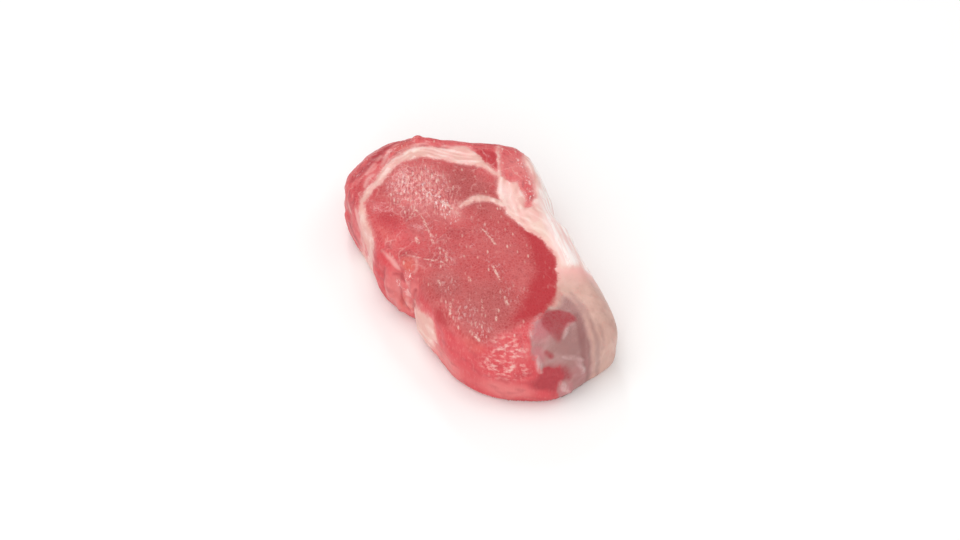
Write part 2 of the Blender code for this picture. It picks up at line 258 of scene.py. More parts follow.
# Loose lobes on the trimmed side: middle, half sizes and turn about Z in degrees.
LOBES = (
    ((-15.5, -37.6, 18.0), (5.4, 3.6, 8.6), 18.0),
    ((-8.0, -38.8, 15.0), (4.2, 3.2, 8.4), -2.0),
    ((-3.4, -37.0, 8.0), (3.0, 2.8, 6.4), -14.0),
    ((-4.6, -33.4, 28.4), (4.4, 3.0, 3.4), 10.0),
    ((0.4, -35.2, 26.0), (2.6, 2.2, 3.6), 0.0),
    ((4.2, -35.2, 20.5), (3.0, 2.4, 5.0), -14.0),
    ((12.5, -36.6, 17.0), (4.6, 2.4, 7.0), -4.0),
    ((22.0, -37.0, 16.0), (5.4, 2.4, 8.0), 4.0),
    ((-60.0, 6.0, 25.5), (3.0, 4.0, 4.4), 30.0),
    ((-47.6, -33.6, 16.5), (3.6, 3.0, 4.0), 45.0),
    ((-64.5, -8.0, 17.0), (3.4, 6.0, 7.0), 6.0),
)

# The patches by their names in the material: those with wavering edges, then the wet ones with even edges.
PATCHES = {"pale": PALE_MEAT_AND_FLOOR_LIGHT, "dusky_and_shade": DUSKY_MEAT_AND_SHADE, "painted_glints": GLINT_PATCHES, "warm": WARM_LOBES, "mauve": MAUVE_SKIN}
WET_PATCHES = {"wet": WET_MEAT, "drops_and_glints": WET_WALL}

# Heights in mm: the edge of the cut face, where the walls' lumps and their own look begin, and the fat's shoulder.
FACE_EDGE, LUMPS_TOP, WALL_TOP, SHOULDER_TOP = 31.0, 29.5, 28.5, 31.8
DEPTH_KEPT = 6.0  # Depths from an outline are kept up to this, in mm.
TALL = (1, 1, 2)  # Stretch of the noise that makes the outlines waver.

# The flat map for baking, in mm: its side, the middles of the top and of the half-size underside,
# and where its two strips of wall start.
MAP_SIDE = 192.0
TOP_MIDDLE, UNDER_MIDDLE = (72.0, 45.0), (166.0, 45.0)
STRIP_START, FIRST_STRIP, SECOND_STRIP = 2.0, 92.0, 132.0
LEVEL = 0.6  # Faces whose normals rise or fall more than this belong to the top or the underside.
MOST_FACES = 99_000  # Four-sided faces, which keeps the piece under 200,000 triangles.

# Sizes of the meat's patterns, in mm. A single fibre, 0.05 mm across, is too fine to show, so the finest
# grain in the material is 0.8 mm, the size of the smallest bundles.
BUNDLE, FASCICLE, DASH = 1.3, 8.0, 1.35

# Soft boxes: bearing from +X, rise, distance in metres, side in metres, watts.
SOFT_BOXES = (
    (195.0, 74.0, 1.2, 0.7, 4.65),
    (-38.0, 34.0, 1.3, 1.2, 4.8),
    (-110.0, 42.0, 1.3, 1.1, 2.8),
    (158.0, 40.0, 1.1, 0.12, 1.2),
    (-45.0, 20.0, 1.3, 0.7, 1.6),
    (-49.0, 15.0, 1.2, 0.12, 0.9),
    (72.0, 50.0, 1.2, 0.8, 2.2),
)
SKY_STRENGTH = 0.4
FLOOR_HEIGHT = -0.0002  # A hair under the slice, so that the two don't share a plane.


def linear(hex_colour):
    """Scene-linear colour of an sRGB hex value."""
    parts = [int(hex_colour[i : i + 2], 16) / 255 for i in (1, 3, 5)]
    return (*[p / 12.92 if p <= 0.04045 else ((p + 0.055) / 1.055) ** 2.4 for p in parts], 1.0)


def colour_prop(name, description, hex_colour):
    """A colour that the user may change."""
    return bpy.props.FloatVectorProperty(
        name=name, description=description, subtype="COLOR", size=4, min=0.0, max=1.0, default=linear(hex_colour)
    )


class SliceSettings(bpy.types.PropertyGroup):
    """Relief and colours of the slice"""

    skin_grain: bpy.props.FloatProperty(
        name="Skin grain", description="Edge length of the sculpted skin", default=0.00061, min=0.0004, max=0.003,
        precision=5, unit="LENGTH",
    )  # fmt: skip
    bundle_depth: bpy.props.FloatProperty(
        name="Fibre bundles", description="Relief of the cut fibre bundles", default=0.0001, min=0.0, max=0.001,
        precision=5, unit="LENGTH",
    )  # fmt: skip
    lump_depth: bpy.props.FloatProperty(
        name="Soft lumps", description="Relief of the soft unevenness", default=0.0004, min=0.0, max=0.002,
        precision=5, unit="LENGTH",
    )  # fmt: skip
    fat_rise: bpy.props.FloatProperty(
        name="Fat rise", description="How far the fat stands over the lean", default=0.0003, min=0.0, max=0.002,
        precision=5, unit="LENGTH",
    )  # fmt: skip
    fold_rise: bpy.props.FloatProperty(
        name="Skin folds", description="Height of the silverskin folds", default=0.0006, min=0.0, max=0.002,
        precision=5, unit="LENGTH",
    )  # fmt: skip
    lean: colour_prop("Lean", "Cut face of the eye muscle", "#BC4345")
    bright: colour_prop("Bright lean", "Rim strip and near wall", "#D2464D")
    warm: colour_prop("Warm lean", "Orange red lobes", "#D65D50")
    pale: colour_prop("Pale lean", "Wet pale lean", "#DF8481")
    deep: colour_prop("Deep lean", "Dark red lean", "#A62F39")
    margin: colour_prop("Red margin", "Blood-red margin of the eye", "#B5222D")
    cream: colour_prop("Cream fat", "Seam and cut face of the fat", "#EBC7BA")
    seam: colour_prop("Thin fat", "Thin fat seams, with lean showing through", "#DEA399")
    film: colour_prop("Fat film", "Pinkish fat of the outer skin", "#EDB1AB")
    # Painted highlight: this white lights the cap's shoulder and the clustered glints, and also whitens some veins of
    # the fat.
    shoulder: colour_prop("Fat shoulder", "Taut white skin of the fat's shoulder", "#FFF3EF")
    # Partly painted shade over the outer fat's own beige.
    beige_and_shade: colour_prop("Outer fat", "Smooth outer fat of the near end", "#CEA396")
    silver: colour_prop("Silverskin", "Grey mauve membrane", "#A67C78")
    mauve: colour_prop("Thin silverskin", "Membrane with pink lean below", "#BE7176")
    # Partly painted shade: on the cut face beside the near wall this colour stands for shade.
    dusky_and_shade: colour_prop("Dusky lean", "Older, browner lean of the cut face", "#9C4442")
    brown: colour_prop("Brown silverskin", "Dry brown grey membrane", "#8E5F5C")
    # Partly painted highlight on the raised folds, over the membrane's own white.
    silver_light: colour_prop("Silverskin folds", "Stretched white membrane", "#D6B1AE")


class StageSettings(bpy.types.PropertyGroup):
    """Sizes of the floor, place of the camera and strength of the light"""

    floor_size: bpy.props.FloatProperty(
        name="Floor", description="Side of the floor", default=4.0, min=0.5, unit="LENGTH"
    )
    floor_colour: colour_prop("Floor colour", "Pale matt floor", "#FBFAF9")
    camera_aim: bpy.props.FloatVectorProperty(
        name="Aim", description="Point the camera looks at", default=(0.0057, -0.005, 0.016), subtype="TRANSLATION"
    )
    camera_distance: bpy.props.FloatProperty(
        name="Distance", description="Camera to aim", default=0.9, min=0.2, unit="LENGTH"
    )
    camera_rise: bpy.props.FloatProperty(
        name="Rise", description="Angle above the floor", default=math.radians(50.0), unit="ROTATION"
    )
    camera_bearing: bpy.props.FloatProperty(
        name="Bearing", description="Side the camera stands on, from +X", default=math.radians(-33.0), unit="ROTATION"
    )
    camera_lens: bpy.props.FloatProperty(
        name="Lens", description="Focal length", default=82.69, min=10.0, unit="CAMERA"
    )
    light_power: bpy.props.FloatProperty(
        name="Light", description="Strength of all of the soft boxes", default=1.0, min=0.0
    )


# ---------------------------------------------------------------- curves and distances


def rounded(loop, closed=True, times=2):
    """A chain of points with its corners cut, as an array."""
    points = np.array(loop, float)
    for _ in range(times):
        after = np.roll(points, -1, axis=0) if closed else points[1:]
        before = points if closed else points[:-1]
        cut = np.stack((before * 0.75 + after * 0.25, before * 0.25 + after * 0.75), axis=1)
        cut = cut.reshape(-1, points.shape[1])
        points = cut if closed else np.vstack((points[:1], cut, points[-1:]))
    return points


def in_loop(spots, loop, times=2):
    """Distance in mm from plan points to a closed loop, positive inside."""
    ends = rounded(loop, times=times)
    nearest = np.full(len(spots), 1e9)
    crossings = np.zeros(len(spots), bool)
    for a, b in zip(ends, np.roll(ends, -1, axis=0)):
        along = b - a
        share = np.clip(((spots - a) @ along) / (along @ along), 0.0, 1.0)
        gap = spots - a - share[:, None] * along
        nearest = np.minimum(nearest, (gap * gap).sum(axis=1))
        spans = (a[1] > spots[:, 1]) != (b[1] > spots[:, 1])
        if abs(along[1]) > 1e-9:
            reach = a[0] + (spots[:, 1] - a[1]) * along[0] / along[1]
            crossings ^= spans & (spots[:, 0] < reach)
    distance = np.sqrt(nearest)
    return np.where(crossings, distance, -distance)


def in_stroke(spots, stroke):
    """Depth in mm inside a stroke whose points end with its half width, positive inside."""
    ends = rounded(stroke, closed=False)
    best = np.full(len(spots), -1e9)
    for a, b in zip(ends[:-1], ends[1:]):
        along = b[:-1] - a[:-1]
        share = np.clip(((spots - a[:-1]) @ along) / max(along @ along, 1e-9), 0.0, 1.0)
        gap = spots - a[:-1] - share[:, None] * along
        width = a[-1] + share * (b[-1] - a[-1])
        best = np.maximum(best, width - np.sqrt((gap * gap).sum(axis=1)))
    return best


def in_any(spots, strokes):
    """Depth in mm inside the nearest of several strokes."""
    return np.max([in_stroke(spots, stroke) for stroke in strokes], axis=0)


def brushed(spots, strokes, soft=1.0):
    """Weight of soft strokes: one along their middle, nothing outside."""
    return step(in_any(spots, strokes), -soft, 0.6 * soft)


def in_patches(spots, patches):
    """Weight of round patches: their strength in the middle, nothing outside."""
    weight = np.zeros(len(spots))
    for patch in patches:
        middle, half, strength = np.array(patch[:3]), np.array(patch[3:6]), patch[6]
        reach = (((spots - middle) / half) ** 2).sum(axis=1)
        weight = np.maximum(weight, strength * np.exp(-reach * reach))
    return weight


def step(values, low, high):
    """Smooth step from nothing at low to one at high."""
    share = np.clip((values - low) / (high - low), 0.0, 1.0)
    return share * share * (3.0 - 2.0 * share)


def rough(spots, size, stretch=(1.0, 1.0, 1.0), seed=0.0):
    """Smooth noise about zero, with bumps of a size in mm."""
    scaled = spots / (np.array(stretch) * size) + np.array((seed * 7.31, seed * 3.17, seed * 5.77))
    return np.array([noise.noise(spot) for spot in scaled.tolist()])


def paired(spots, size, seed):
    """Two noises side by side, which shift points in a plane."""
    return np.column_stack((rough(spots, size, seed=seed), rough(spots, size, seed=seed + 1)))


# ---------------------------------------------------------------- the tissues of the slice


def drifted(spots):
    """Plan places of points in mm, where outlines waver and drift sideways on the way down."""
    below = np.clip(FACE_EDGE - spots[:, 2], 0.0, FACE_EDGE) / FACE_EDGE
    plan = spots[:, :2].copy()
    plan[:, 0] += (
        1.5 * below
        + 9.0 * below**2 * step(plan[:, 1] - 0.4 * plan[:, 0], 30.0, 44.0)
        + 0.7 * rough(spots, 6.0, TALL, 1)
        + 0.3 * rough(spots, 2.2, TALL, 2)
    )
    plan += 1.5 * below[:, None] * paired(spots, 7.5, 6)
    plan[:, 1] += -1.0 * below + 0.7 * rough(spots, 6.0, TALL, 3) + 0.3 * rough(spots, 2.2, TALL, 4)
    return plan


def tissues(spots):
    """What the slice is made of at points in mm: depths in fat and silverskin, and weights of the meats."""
    height, plan = spots[:, 2], drifted(spots)
    skin = spots + np.column_stack([0.5 * rough(spots, 3.5, seed=5 + i) for i in range(3)])
    around = 55.0 * np.arctan2(spots[:, 1], spots[:, 0] + 4.0)
    eye, cap, wide_seam = (in_loop(plan, outline) for outline in (EYE_MUSCLE, FAT_CAP, WIDE_SEAM))
    wall = step(WALL_TOP - height, -1.0, 2.5)
    creases = brushed(skin, CREASES, 1.1)

    # Fat: the cap, the seam, and the loose fat beside the notch. Thin fat lets the lean show through.
    side = np.column_stack((skin[:, 0], skin[:, 2])) + 1.8 * paired(spots, 3.6, 8)
    loose = np.minimum(0.5 * in_loop(side, LOOSE_FAT), -30.0 - spots[:, 1])
    seam = np.maximum(wide_seam, in_any(plan, SEAM_STROKES))
    fat = np.max([np.minimum(cap, -eye), seam + 0.2, loose], axis=0)
    thin = 0.9 * (1.0 - step(np.maximum(cap, wide_seam - 1.0), -1.4, 1.0))
    thin *= (1.0 - 0.55 * step(loose, -1.0, 1.0)) * (0.45 + 0.55 * step(plan[:, 0], -32.0, -18.0))
    veins = rough(np.column_stack((around, eye, height)), 1.5, (7.0, 1.0, 3.0), 33)
    veins *= 1.0 - 0.5 * step(cap, 0.0, 3.0)

    # The cap's shoulder, painted white as a highlight that is strongest towards the top, with its strands; and the
    # smooth outer fat of the near end, whose beige is partly painted shade and grows further out.
    drop = SHOULDER_TOP - height
    white = 0.9 * step(in_stroke(plan, SHOULDER_HIGHLIGHT), -3.0, 1.5) * step(cap, 0.0, 2.0)
    shoulder = np.maximum(white, step(cap, 0.0, 5.0) * step(drop, 0.4, 4.0) * step(height, 13.0, 26.0))
    strands = np.maximum(white, step(cap, 0.5, 5.0) * step(drop, 0.2, 2.6))
    outwards = plan[:, 0] - 0.65 * (plan[:, 1] - 12.0) + 3.0 * rough(spots, 11.0, seed=18)
    near_end = step(spots[:, 1], -16.0, -6.0) * np.clip((outwards - 29.0) / 20.0, 0.0, 1.0)

    # Silverskin, by its plan on top and by its height on the near end's wall, and the dark lean in its gaps.
    end = skin[:, 1:] + 0.8 * paired(spots, 5.0, 14)
    silver = np.where(spots[:, 0] > 62.5, in_loop(end, END_SKIN, 1), in_loop(plan, SILVERSKIN, 1))
    tip = 1.0 - 0.3 * step(0.8 * plan[:, 0] - 0.6 * plan[:, 1], 44.0, 53.0)
    wedge = step(np.minimum(in_loop(plan, DARK_WEDGE, 1), height - 24.0), -0.9, 0.9)
    low_dark = step(np.minimum(in_loop(end, END_DARK, 1), spots[:, 0] - 58.0), -2.2, 1.8)
    # Dark lean, and painted shade along the creases between the lobes.
    deep = [0.95 * tip * wedge, 0.9 * low_dark, 0.85 * brushed(skin, DEEP_STROKES), 0.8 * creases]

    # Lean: brighter outside the eye, beside its trimmed edge and on the walls, and blood red beside the cap.
    trimmed_edge = np.exp(-(((plan[:, 0] + 21) / 15) ** 2 + ((plan[:, 1] + 30.5) / 6) ** 2))
    bright = np.clip(np.max([step(-eye, -0.5, 2.0), wall, trimmed_edge], axis=0), 0.0, 1.0)
    triangle = step(in_loop(plan, RED_TRIANGLE), -1.2, 0.8)
    margin = [0.9 * step(in_stroke(plan, RED_MARGIN), -3.2, 2.6), 0.85 * triangle, in_patches(skin, BRIGHT_SPOTS)]

    # Long strips along the rim, fainter where the meat is even and low on the walls.
    strips = rough(np.column_stack((around, -1.6 * eye, height)), 1.0, (8.0, 1.5, 2.6), 31)
    near_wall = step(spots[:, 0], 2.0, 20.0) * step(-spots[:, 1], -4.0, 8.0)
    calm = np.maximum(0.8 * near_wall, in_patches(spots, CALM_MEAT))
    rim = 0.75 * step(-eye, 0.6, 2.4) * step(-cap, -1.0, 1.0) * (1.0 - np.maximum(calm, triangle)) * strips
    rim *= 1.0 - 0.4 * step(WALL_TOP - height, 0.0, 6.0)

    # The fascicles are coarser, and show more, towards the far end.
    coarse = 0.2 + 0.8 * step(-plan[:, 0] - 0.4 * plan[:, 1], -2.0, 22.0)

    # Film: drawn strokes, veils on the far end's wall, and the cap's thin edge over the side muscle.
    far_end = step(0.59 * spots[:, 1] - 0.8 * spots[:, 0], 42.0, 52.0) * wall
    veils = rough(np.column_stack((around, eye, height)), 1.7, (6.5, 1, 1), 16) + 0.5 * rough(spots, 9.0, seed=17)
    fade = step(cap, -2.6, 0.3) * step(plan[:, 1], 26.0, 31.0)
    film = [0.65 * brushed(skin, FILM_STROKES), 0.45 * far_end * step(veils, -0.05, 0.6), 0.7 * fade]

    depths = {"fat": fat, "silver": silver, "marbling": in_any(plan, MARBLING)}
    highest = {"deep": deep, "margin": margin, "film": film}
    return {
        **{name: np.clip(depth, -DEPTH_KEPT, DEPTH_KEPT) for name, depth in depths.items()},
        **{name: np.max(weights, axis=0) for name, weights in highest.items()},
        **{name: in_patches(skin, patches) for name, patches in PATCHES.items()},
        **{name: in_patches(spots, patches) for name, patches in WET_PATCHES.items()},
        "wall": wall, "bright": bright, "rim": rim, "creases": creases, "near_end": near_end, "coarse": coarse,
        "thin": thin, "veins": veins, "shoulder": shoulder, "strands": strands,
        "folds": brushed(skin, SKIN_FOLDS, 0.9), "brown": brushed(skin, BROWN_STROKES, 1.2),
    }  # fmt: skip


# ---------------------------------------------------------------- modelling


def pick_only(*things):
    """Select these objects alone, the first one active."""
    bpy.ops.object.select_all(action="DESELECT")
    for thing in things:
        thing.select_set(True)
    bpy.context.view_layer.objects.active = things[0]


def finish_modifier(thing, kind, **settings):
    """Add a modifier and apply it at once."""
    pick_only(thing)
    bpy.ops.object.modifier_add(type=kind)
    modifier = thing.modifiers[-1]
    for key, value in settings.items():
        setattr(modifier, key, value)
    bpy.ops.object.modifier_apply(modifier=modifier.name)


def merged_copy(node_name, name):
    """A whole, smooth copy of a CAD node, free of the frame."""
    pick_only(frame["nodes"][node_name])
    bpy.ops.object.duplicate()
    piece = bpy.context.active_object
    if piece is frame["nodes"][node_name]:
        raise RuntimeError("the CAD node was not copied")
    bpy.ops.object.parent_clear(type="CLEAR_KEEP_TRANSFORM")
    for key in list(piece.keys()):
        del piece[key]
    piece.name = piece.data.name = name
    piece.data.materials.clear()
    bpy.ops.mesh.customdata_custom_splitnormals_clear()
    bpy.ops.object.mode_set(mode="EDIT")
    bpy.ops.mesh.select_all(action="SELECT")
    bpy.ops.mesh.remove_doubles(threshold=0.00002)
    bpy.ops.mesh.tris_convert_to_quads(face_threshold=math.radians(60), shape_threshold=math.radians(80))
    bpy.ops.object.mode_set(mode="OBJECT")
    return piece


def add_lobe(middle, half, turn):
    """One loose lobe of meat: a sphere pulled to its size and turned, which the remesh melts into the slice."""
    bpy.ops.mesh.primitive_uv_sphere_add(
        segments=32, ring_count=20, radius=MM, location=[v * MM for v in middle],
        rotation=(0.0, 0.0, math.radians(turn)), scale=half,
    )  # fmt: skip
    lobe = bpy.context.active_object
    bpy.ops.object.transform_apply(location=True, rotation=True, scale=True)
    return lobe


def skin_of(mesh, layer):
    """Places in mm or normals of a mesh's vertices as an array."""
    flat = np.empty(len(mesh.vertices) * 3)
    mesh.vertices.foreach_get(layer, flat)
    return flat.reshape(-1, 3) / (MM if layer == "co" else 1.0)


def push(mesh, spots, lift):
    """Move vertices, given in mm, along their normals and keep the underside flat."""
    normals = skin_of(mesh, "normal")
    hold = step(spots[:, 2], 0.3, 2.5)
    moved = spots + normals * (lift * hold)[:, None]
    moved[:, 2] = np.where((normals[:, 2] < -0.8) & (spots[:, 2] < 0.8), 0.0, np.maximum(moved[:, 2], 0.0))
    mesh.vertices.foreach_set("co", (moved * MM).ravel())
    mesh.update()


def hollows(mesh):
    """How far in mm each point lies below the same skin smoothed over 2 mm."""
    places = skin_of(mesh, "co")
    ends = np.empty(len(mesh.edges) * 2, int)
    mesh.edges.foreach_get("vertices", ends)
    ends = ends.reshape(-1, 2)
    here, there = np.concatenate((ends, ends[:, ::-1])).T
    count = np.bincount(here, minlength=len(places))
    smooth = places
    for _ in range(14):
        smooth = np.stack([np.bincount(here, smooth[there, axis], len(places)) / count for axis in range(3)], axis=1)
    return ((smooth - places) * skin_of(mesh, "normal")).sum(axis=1)


class VEAL_OT_slice(bpy.types.Operator):
    """Sculpt the slice over its CAD solid and dress it in raw meat"""

    bl_idname = "veal.slice"
    bl_label = "Veal slice"

    def execute(self, context):
        sizes = context.scene.veal_slice
        piece = merged_copy(CAD_NODE, SLICE)
        finish_modifier(piece, "SUBSURF", levels=2, render_levels=2)
        lobes = [add_lobe(*lobe) for lobe in LOBES]
        pick_only(piece, *lobes)
        bpy.ops.object.join()
        finish_modifier(piece, "REMESH", mode="VOXEL", voxel_size=sizes.skin_grain, adaptivity=0.0)
        finish_modifier(piece, "SMOOTH", factor=0.5, iterations=6)
        self.sculpt(piece.data, sizes)
        self.map_tissues(piece.data)
        self.unwrap(piece.data)
        bpy.ops.object.shade_smooth()
        if len(piece.data.polygons) > MOST_FACES:
            raise RuntimeError("the skin of the slice is too fine")
        piece.data.materials.append(raw_veal(sizes))
        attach(piece, BODY)
        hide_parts(CAD_NODE)
        return {"FINISHED"}

    def sculpt(self, mesh, sizes):
        """Push the skin out and in: soft lumps, fat, folds, then the cut fibre bundles."""
        depths = (sizes.lump_depth, sizes.fat_rise, sizes.fold_rise, sizes.bundle_depth)
        lump, rise, fold, bundle = (depth / MM for depth in depths)
        spots = skin_of(mesh, "co")
        at = tissues(spots)
        wall = step(LUMPS_TOP - spots[:, 2], -1.0, 4.0)
        broad, small = rough(spots, 9.0, seed=11), rough(spots, 4.2, seed=12)
        lift = lump * ((0.35 + 0.9 * wall) * broad + (0.12 + 0.7 * wall) * small)
        in_fat = step(at["fat"], -0.3, 1.5)
        groove = np.exp(-(((at["fat"] + 0.4) / 0.7) ** 2))
        lift += rise * (in_fat - 0.5 * groove)
        lift += fold * (at["folds"] - 1.2 * at["creases"] - 0.25 * at["brown"]) + lump * 0.6 * at["rim"]
        lift -= 0.5 * at["margin"] * rise
        push(mesh, spots, lift)

        spots = skin_of(mesh, "co")
        lean = (1.0 - in_fat) * (1.0 - step(at["silver"], -0.5, 0.5))
        grain = rough(spots, 1.5, (1, 1, 3.0), 21) + 0.5 * at["wet"] * rough(spots, 2.4, (1, 1, 1.5), 22)
        strands = rough(spots, 2.6, (1, 1, 6), 23) + 0.5 * rough(spots, 1.5, (1, 1, 6), 24)
        fine = lean * (0.7 + 0.9 * at["wet"] + 0.5 * wall) * grain + 0.3 * (1.0 - lean) * strands
        push(mesh, spots, bundle * fine)

    def unwrap(self, mesh):
        """Lay the skin out flat for baking: top face, two strips of wall and a smaller underside."""
        spots, count = skin_of(mesh, "co"), len(mesh.polygons)
        corners = np.empty(len(mesh.loops), int)
        mesh.loops.foreach_get("vertex_index", corners)
        sides = np.empty(count, int)
        mesh.polygons.foreach_get("loop_total", sides)
        facing = np.empty(count * 3)
        mesh.polygons.foreach_get("normal", facing)
        face = np.repeat(np.arange(count), sides)
        rise = facing.reshape(-1, 3)[face, 2]
        places = spots[corners]
        middle = np.stack([np.bincount(face, places[:, i]) for i in range(2)], axis=1) / sides[:, None]

        # How far round the wall each bearing lies, in mm along the farthest skin of each degree.
        bearing = np.degrees(np.arctan2(spots[:, 1], spots[:, 0])) % 360.0
        reach = np.zeros(361)
        np.maximum.at(reach, bearing.astype(int), np.hypot(spots[:, 0], spots[:, 1]))
        reach[360] = reach[0]
        length = np.concatenate(([0.0], np.cumsum(np.hypot(np.diff(reach), math.radians(1.0) * reach[:-1]))))

        # A face's corners stay together where the bearing jumps from 360 degrees to nothing.
        turn = np.degrees(np.arctan2(middle[:, 1], middle[:, 0]))[face] % 360.0
        turned = turn + (bearing[corners] - turn + 180.0) % 360.0 - 180.0
        second = turn > 180.0
        along = np.interp(turned, np.arange(361.0), length) - np.where(second, length[180], 0.0)

        strip = places[:, 2] + np.where(second, SECOND_STRIP, FIRST_STRIP)
        wall = np.stack((along + STRIP_START, strip), axis=1)
        top = places[:, :2] + TOP_MIDDLE
        under = places[:, 1::-1] * 0.5 + UNDER_MIDDLE
        flat = np.where((rise > LEVEL)[:, None], top, np.where((rise < -LEVEL)[:, None], under, wall))
        layer = mesh.uv_layers.new(name="OFBake", do_init=False)
        layer.uv.foreach_set("vector", (flat / MAP_SIDE).astype(np.float32).ravel())

    def map_tissues(self, mesh):
        """Keep the tissues, and the painted shade of the hollows, as point attributes, which the material reads."""
        spots = skin_of(mesh, "co")
        found = tissues(spots)
        beside_lobes = step(8.0 - spots[:, 0], 0.0, 4.0)
        # Painted shade: deep red for the hollows beside the lobes, where shade falls.
        found["hollow"] = step(hollows(mesh), 0.12, 0.6) * (1.0 - 0.5 * found["pale"]) * beside_lobes
        for name, values in found.items():
            mesh.attributes.new(name=name, type="FLOAT", domain="POINT").data.foreach_set("value", values)


# ---------------------------------------------------------------- materials


def add_node(tree, kind, inputs=(), **settings):
    """Add a node with its settings, plain values and links."""
    made = tree.nodes.new(kind)
    for key, value in settings.items():
        setattr(made, key, value)
    for socket, value in dict(inputs).items():
        if isinstance(value, bpy.types.NodeSocket):
            tree.links.new(value, made.inputs[socket])
        else:
            made.inputs[socket].default_value = value
    return made


def raw_veal(sizes):
    """Raw veal, cut across the grain: moist, softly glossy, with fine fibre bundles, fat and membrane."""
    material = bpy.data.materials.new("raw_moist_veal")
    material.use_nodes = True
    tree = material.node_tree
    tree.nodes.clear()
    place = add_node(tree, "ShaderNodeTexCoord").outputs["Object"]
    at = {
        name: add_node(
            tree, "ShaderNodeAttribute", attribute_type="GEOMETRY", attribute_name=name
        ).outputs["Fac"]
        for name in (
            "fat", "thin", "veins", "shoulder", "strands", "near_end", "film", "silver", "mauve", "brown", "folds",
            "bright", "pale", "dusky_and_shade", "warm", "deep", "hollow", "margin", "rim", "coarse", "marbling", "painted_glints",
            "wet", "drops_and_glints", "wall",
        )
    }  # fmt: skip

    def joined(operation, parts):
        """Parts joined by one operation. A tuple is a soft step: value, low, high and what it gives at each."""
        result = None
        for part in parts:
            if isinstance(part, tuple):
                soft = dict(enumerate((*part, 0.0, 1.0)[:5]))
                part = add_node(tree, "ShaderNodeMapRange", soft, interpolation_type="SMOOTHSTEP").outputs[0]
            if result is None:
                result = part
            else:
                result = add_node(tree, "ShaderNodeMath", {0: result, 1: part}, operation=operation).outputs[0]
        return result

    def share(*parts):
        return joined("MULTIPLY", parts)

    def total(*parts):
        return joined("ADD", parts)

    def laid_over(colour, *layers):
        """Lay colours over a first one. Each layer is its colour and the parts of its share."""
        for upper, *parts in layers:
            blend = {0: share(*parts), 6: colour, 7: upper}
            colour = add_node(tree, "ShaderNodeMix", blend, data_type="RGBA").outputs[2]
        return colour

    def pattern(kind, size, stretch=(1, 1, 1), turn=0.0, inputs=(), **settings):
        """A texture of a size in mm, drawn out along axes that are turned about Z by degrees."""
        axes = {"Vector": place, "Rotation": (0, 0, math.radians(turn)), "Scale": stretch}
        drawn_out = add_node(tree, "ShaderNodeMapping", axes, vector_type="TEXTURE").outputs[0]
        return add_node(tree, kind, {"Vector": drawn_out, "Scale": 1000.0 / size, **dict(inputs)}, **settings)

    def grain(size, detail=2.0, stretch=(1, 1, 1), turn=0.0):
        """Noise of a size in mm."""
        return pattern(
            "ShaderNodeTexNoise", size, stretch, turn, {"Detail": detail, "Roughness": 0.55}
        ).outputs["Fac"]  # fmt: skip

    fine, middle, broad = grain(0.8, 3.0, (1, 1, 3)), grain(3.0, 3.0), grain(12.0, 2.0)
    coarse, wall, wet, drops_and_glints = at["coarse"], at["wall"], at["wet"], at["drops_and_glints"]

    # Ragged edges of the fat and the silverskin, softer at the near end.
    ragged = total(share(fine, 0.9), share(middle, 2.4), -1.65)
    edge, near_end = total(at["fat"], ragged), at["near_end"]
    in_fat = share((edge, share((near_end, 0.5, 1.0, -0.5, -2.4)), share((near_end, 0.5, 1.0, 0.7, 2.2))))
    in_silver = share((total(at["silver"], ragged), -0.8, 0.8))

    # Fibre bundles, 1.3 mm across, cut square: faint pale walls round darker middles.
    bundles = pattern("ShaderNodeTexVoronoi", BUNDLE, (1, 1, 8), feature="DISTANCE_TO_EDGE").outputs["Distance"]
    dome = share((bundles, 0.0, 0.35))
    plain = share((at["margin"], 0.0, 1.0, 1.0, 0.2))

    # Fascicles, 8 mm across, each of its own red, with thin septa between some of them.
    bent = add_node(tree, "ShaderNodeTexNoise", {"Vector": place, "Scale": 200.0, "Detail": 2.0}).outputs["Color"]
    bent = add_node(tree, "ShaderNodeVectorMath", {0: bent, 1: (0.5,) * 3}, operation="SUBTRACT").outputs[0]
    axes = {"Vector": place, "Rotation": (0, 0, 0), "Scale": (1, 1, 8)}
    upright = add_node(tree, "ShaderNodeMapping", axes, vector_type="TEXTURE").outputs[0]
    bend = {0: bent, 1: (0.006,) * 3, 2: upright}
    bent = add_node(tree, "ShaderNodeVectorMath", bend, operation="MULTIPLY_ADD").outputs[0]
    fascicles = {"Vector": bent, "Scale": 1000.0 / FASCICLE}
    cells = add_node(tree, "ShaderNodeTexVoronoi", fascicles).outputs["Color"]
    seams = add_node(tree, "ShaderNodeTexVoronoi", fascicles, feature="DISTANCE_TO_EDGE").outputs["Distance"]

    # Short pale dashes, 0.7 by 1.6 mm, in some of the cells of a finer pattern: pale specks of the lean, and more of
    # them in the wet patches as painted glints.
    dashes = pattern("ShaderNodeTexVoronoi", DASH, (2.3, 1.0, 2.0), -30.0)
    chosen = total(dashes.outputs["Color"], (wet, 0.0, 1.0, -0.66, -0.35))
    specks_and_glints = share((dashes.outputs["Distance"], 0.14, 0.44, 1.0, 0.0), (chosen, 0.0, 0.3))
    # Painted highlights: clustered pale blobs on the wet wall, and the pale ones of the drawn out fibres on the wet
    # face.
    glint_blobs, fibres = grain(1.5, 3.0, (1.7, 1, 1), 50.0), grain(0.8, 1.5, (3.4, 1, 1), -33.0)
    on_face = share(wet, (wall, 0.0, 1.0, 1.0, 0.0))

